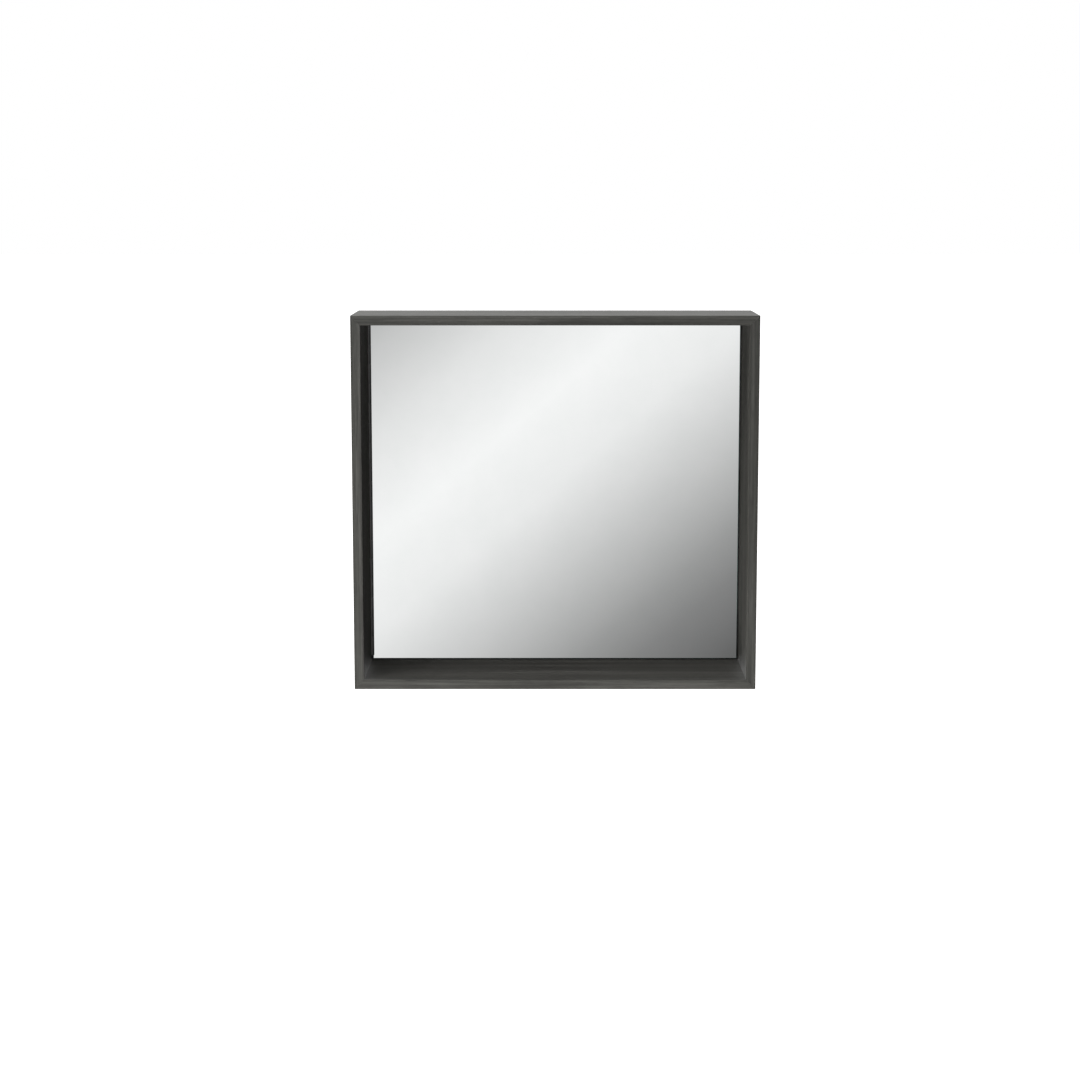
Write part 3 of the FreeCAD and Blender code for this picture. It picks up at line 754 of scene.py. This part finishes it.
def make_spring():
    """The latch's coil spring, with its end turns closed."""
    low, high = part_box("latch_spring")
    centre, room = (low + high) / 2, high.y - low.y
    coil = (high.x - low.x) / 2 - SPRING_WIRE
    closed = 2 * SPRING_WIRE
    steps, sides = 24, 8
    mesh = bmesh.new()
    rings = []
    for i in range(steps * SPRING_TURNS + 1):
        turn = i / steps
        open_part = min(max((turn - 1) / (SPRING_TURNS - 2), 0), 1)
        ends = min(turn, 1) + max(turn - SPRING_TURNS + 1, 0)
        out = Vector((math.cos(math.tau * turn), 0, math.sin(math.tau * turn)))
        height = low.y + SPRING_WIRE + closed * ends + (room - 3 * closed) * open_part
        middle = Vector((centre.x, height, centre.z)) + coil * out
        ring = []
        for j in range(sides):
            angle = math.tau * j / sides
            reach = math.cos(angle) * out + Vector((0, math.sin(angle), 0))
            ring.append(mesh.verts.new(middle + SPRING_WIRE * reach))
        rings.append(ring)
    bridge(mesh, rings)
    mesh.faces.new(rings[0])
    mesh.faces.new(rings[-1])
    wire = brushed("spring_wire", 1, (0.45, 0.45, 0.46), 0.3)
    piece = finish_piece(mesh, "latch_coil", "cabinet", [wire], ["latch_spring"])
    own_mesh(piece)


def finish_nodes(zinc, black):
    """Materials and eased edges (in mm) of the CAD nodes that keep their own shape."""
    aluminium = brushed("aluminium_flat", 0, ALUMINIUM, BRUSHED_ROUGHNESS)
    looks = {
        "body_back": (aluminium, 0.2),
        "stop_rails": (aluminium, 0.8),
        "strike_plate": (zinc, 0.3),
        "hinge_wall_leaf": (black, 0.2),
        "hinge_door_leaf": (black, 0.2),
        "hinge_pin": (black, 0.3),
        "corner_biscuits": (moulded("beech", (0.55, 0.40, 0.25), 0.7), 0.4),
        "mirror_tape": (moulded("foam", (0.10, 0.10, 0.10), 0.85), 0.1),
        "latch_housing": (moulded("latch_grey", (0.16, 0.16, 0.165), 0.45), 0.6),
        "latch_magnet": (brushed("magnet_nickel", 0, (0.7, 0.7, 0.71), 0.18, 0.05), 0.3),
    }
    for name, (material, eased) in looks.items():
        node = frame["nodes"][name]
        node.data.materials.clear()
        node.data.materials.append(material)
        node.modifiers.new("joined", "WELD").merge_threshold = JOINED
        edges = node.modifiers.new("eased", "BEVEL")
        edges.width = eased * MM
        edges.segments = 2
        edges.limit_method = "ANGLE"
        edges.angle_limit = SHARP_ANGLE
        edges.harden_normals = True


# ---------------------------------------------------------------- studio

def add_stage(mesh, name, material):
    """Put a bmesh in the scene as part of the studio."""
    item = new_object(mesh, name)
    item.data.materials.append(material)
    return item


def make_floor():
    """A pale floor well below the cabinet, which hangs at the height of a person's head."""
    mesh = bmesh.new()
    bmesh.ops.create_grid(mesh, x_segments=8, y_segments=8, size=FLOOR_HALF_WIDTH)
    pale = Shader("pale_floor", Base_Color=(0.88, 0.88, 0.87, 1), Roughness=0.9, Specular_IOR_Level=0.1)
    pale.surface.inputs["Emission Color"].default_value = (1, 1, 1, 1)
    seen = pale.add("ShaderNodeLightPath").outputs["Is Camera Ray"]
    pale.drive(Emission_Strength=pale.levels(seen, 0, 1, 0.0, 0.85))
    floor = add_stage(mesh, "floor", pale.material)
    floor.location = (0, 0, FLOOR)
    # The mirror shows the softbox without a break where the floor meets it
    floor.visible_glossy = False


def make_card():
    """A wide graduated softbox behind the camera, which is what the mirror looks at.

    Its brightness changes along one slanting line across the card, from upper left to lower right.
    """
    mesh = bmesh.new()
    bmesh.ops.create_grid(mesh, x_segments=1, y_segments=1, size=1.0)
    made = Shader("softbox_glow", Base_Color=(0, 0, 0, 1), Specular_IOR_Level=0.0)
    place = made.add("ShaderNodeNewGeometry").outputs["Position"]
    downhill = (math.cos(CARD_SLANT), 0, -math.sin(CARD_SLANT))
    across = made.add("ShaderNodeVectorMath", {0: place, 1: downhill}, operation="DOT_PRODUCT")
    first, last = CARD_GLOW[0][0], CARD_GLOW[-1][0]
    stops = [((reach - first) / (last - first), (glow, glow, glow)) for reach, glow in CARD_GLOW]
    made.drive(Emission_Color=made.ramp(made.levels(across.outputs["Value"], first, last), stops))
    made.surface.inputs["Emission Strength"].default_value = 1.0
    card = add_stage(mesh, "softbox", made.material)
    card.scale = (CARD_HALF_WIDTH, (CARD_TOP - CARD_FOOT) / 2, 1.0)
    card.location = (0.0, FRONT - CARD_DISTANCE, (CARD_TOP + CARD_FOOT) / 2)
    card.rotation_euler = (math.radians(90), 0, 0)
    card.visible_camera = False


def area_light(name, place, aim, size, power):
    """A rectangular studio softbox."""
    data = bpy.data.lights.new(name, "AREA")
    data.shape = "RECTANGLE"
    data.size, data.size_y = size
    data.energy = power
    light = bpy.data.objects.new(name, data)
    light.location = place
    light.rotation_euler = (Vector(aim) - Vector(place)).to_track_quat("-Z", "Y").to_euler()
    bpy.context.scene.collection.objects.link(light)
    return light


def make_world():
    """White to the camera. As light, strong from the upper left and behind, weak from the right."""
    world = bpy.data.worlds.new("studio")
    world.use_nodes = True
    tree = world.node_tree
    background = tree.nodes["Background"]
    background.inputs["Color"].default_value = (1, 1, 1, 1)
    ways = tree.nodes.new("ShaderNodeTexCoord").outputs["Generated"]

    def glow(toward, start, low, high):
        """Light that grows as the direction turns toward one way."""
        facing = tree.nodes.new("ShaderNodeVectorMath")
        facing.operation = "DOT_PRODUCT"
        facing.inputs[1].default_value = Vector(toward).normalized()
        tree.links.new(ways, facing.inputs[0])
        soft = tree.nodes.new("ShaderNodeMapRange")
        for socket, value in (("From Min", start), ("From Max", 1.0), ("To Min", low), ("To Max", high)):
            soft.inputs[socket].default_value = value
        tree.links.new(facing.outputs["Value"], soft.inputs["Value"])
        return soft.outputs["Result"]

    def joined(operation, first, second):
        made = tree.nodes.new("ShaderNodeMath")
        made.operation = operation
        tree.links.new(first, made.inputs[0])
        tree.links.new(second, made.inputs[1])
        return made.outputs["Value"]

    high_left = glow((-0.75, -0.15, 0.65), -0.7, 0.06, 0.85)
    low_left = glow((-1, 0.3, -0.25), 0.75, 0.0, 0.45)
    behind = glow((0, 1, 0.1), 0.0, 0.0, 0.4)
    light = joined("ADD", joined("ADD", high_left, low_left), behind)
    seen = tree.nodes.new("ShaderNodeLightPath").outputs["Is Camera Ray"]
    tree.links.new(joined("MAXIMUM", seen, light), background.inputs["Strength"])
    bpy.context.scene.world = world


def make_camera():
    """A camera a little above the cabinet and in front of it, looking slightly down."""
    data = bpy.data.cameras.new("camera")
    data.sensor_width = 36.0
    data.lens = LENS
    data.shift_x = SHIFT_X
    data.shift_y = SHIFT_Y
    camera = bpy.data.objects.new("camera", data)
    camera.location = (CAMERA_SIDEWAYS, FRONT - CAMERA_DISTANCE, CASE_HIGH.z + CAMERA_RISE)
    camera.rotation_euler = (math.radians(90 - PITCH), 0, 0)
    bpy.context.scene.collection.objects.link(camera)
    bpy.context.scene.camera = camera


bpy.context.scene.view_settings.view_transform = "Standard"
make_camera()
make_world()
make_floor()
make_card()
area_light("top_softbox", (-1.15, -0.5, 2.3), (0, 0, 0.2), (1.5, 1.6), 96)
area_light("rear_softbox", (1.4, 1.9, 1.5), (0, 0, 0), (0.6, 1.6), 14)
front_fill = area_light("front_fill", (-0.34, -1.6, -1.2), (0, FRONT, CASE_LOW.z), (0.5, 0.4), 38)
front_fill.visible_glossy = False

zinc_finish = brushed("zinc", 0, (0.66, 0.67, 0.69), 0.3)
black_finish = moulded("black_powder_coat", (0.012, 0.012, 0.012), 0.45)
make_case()
make_storage_body()
make_mirror()
make_door_board()
make_shelves()
make_fasteners(zinc_finish, black_finish)
make_spring()
finish_nodes(zinc_finish, black_finish)
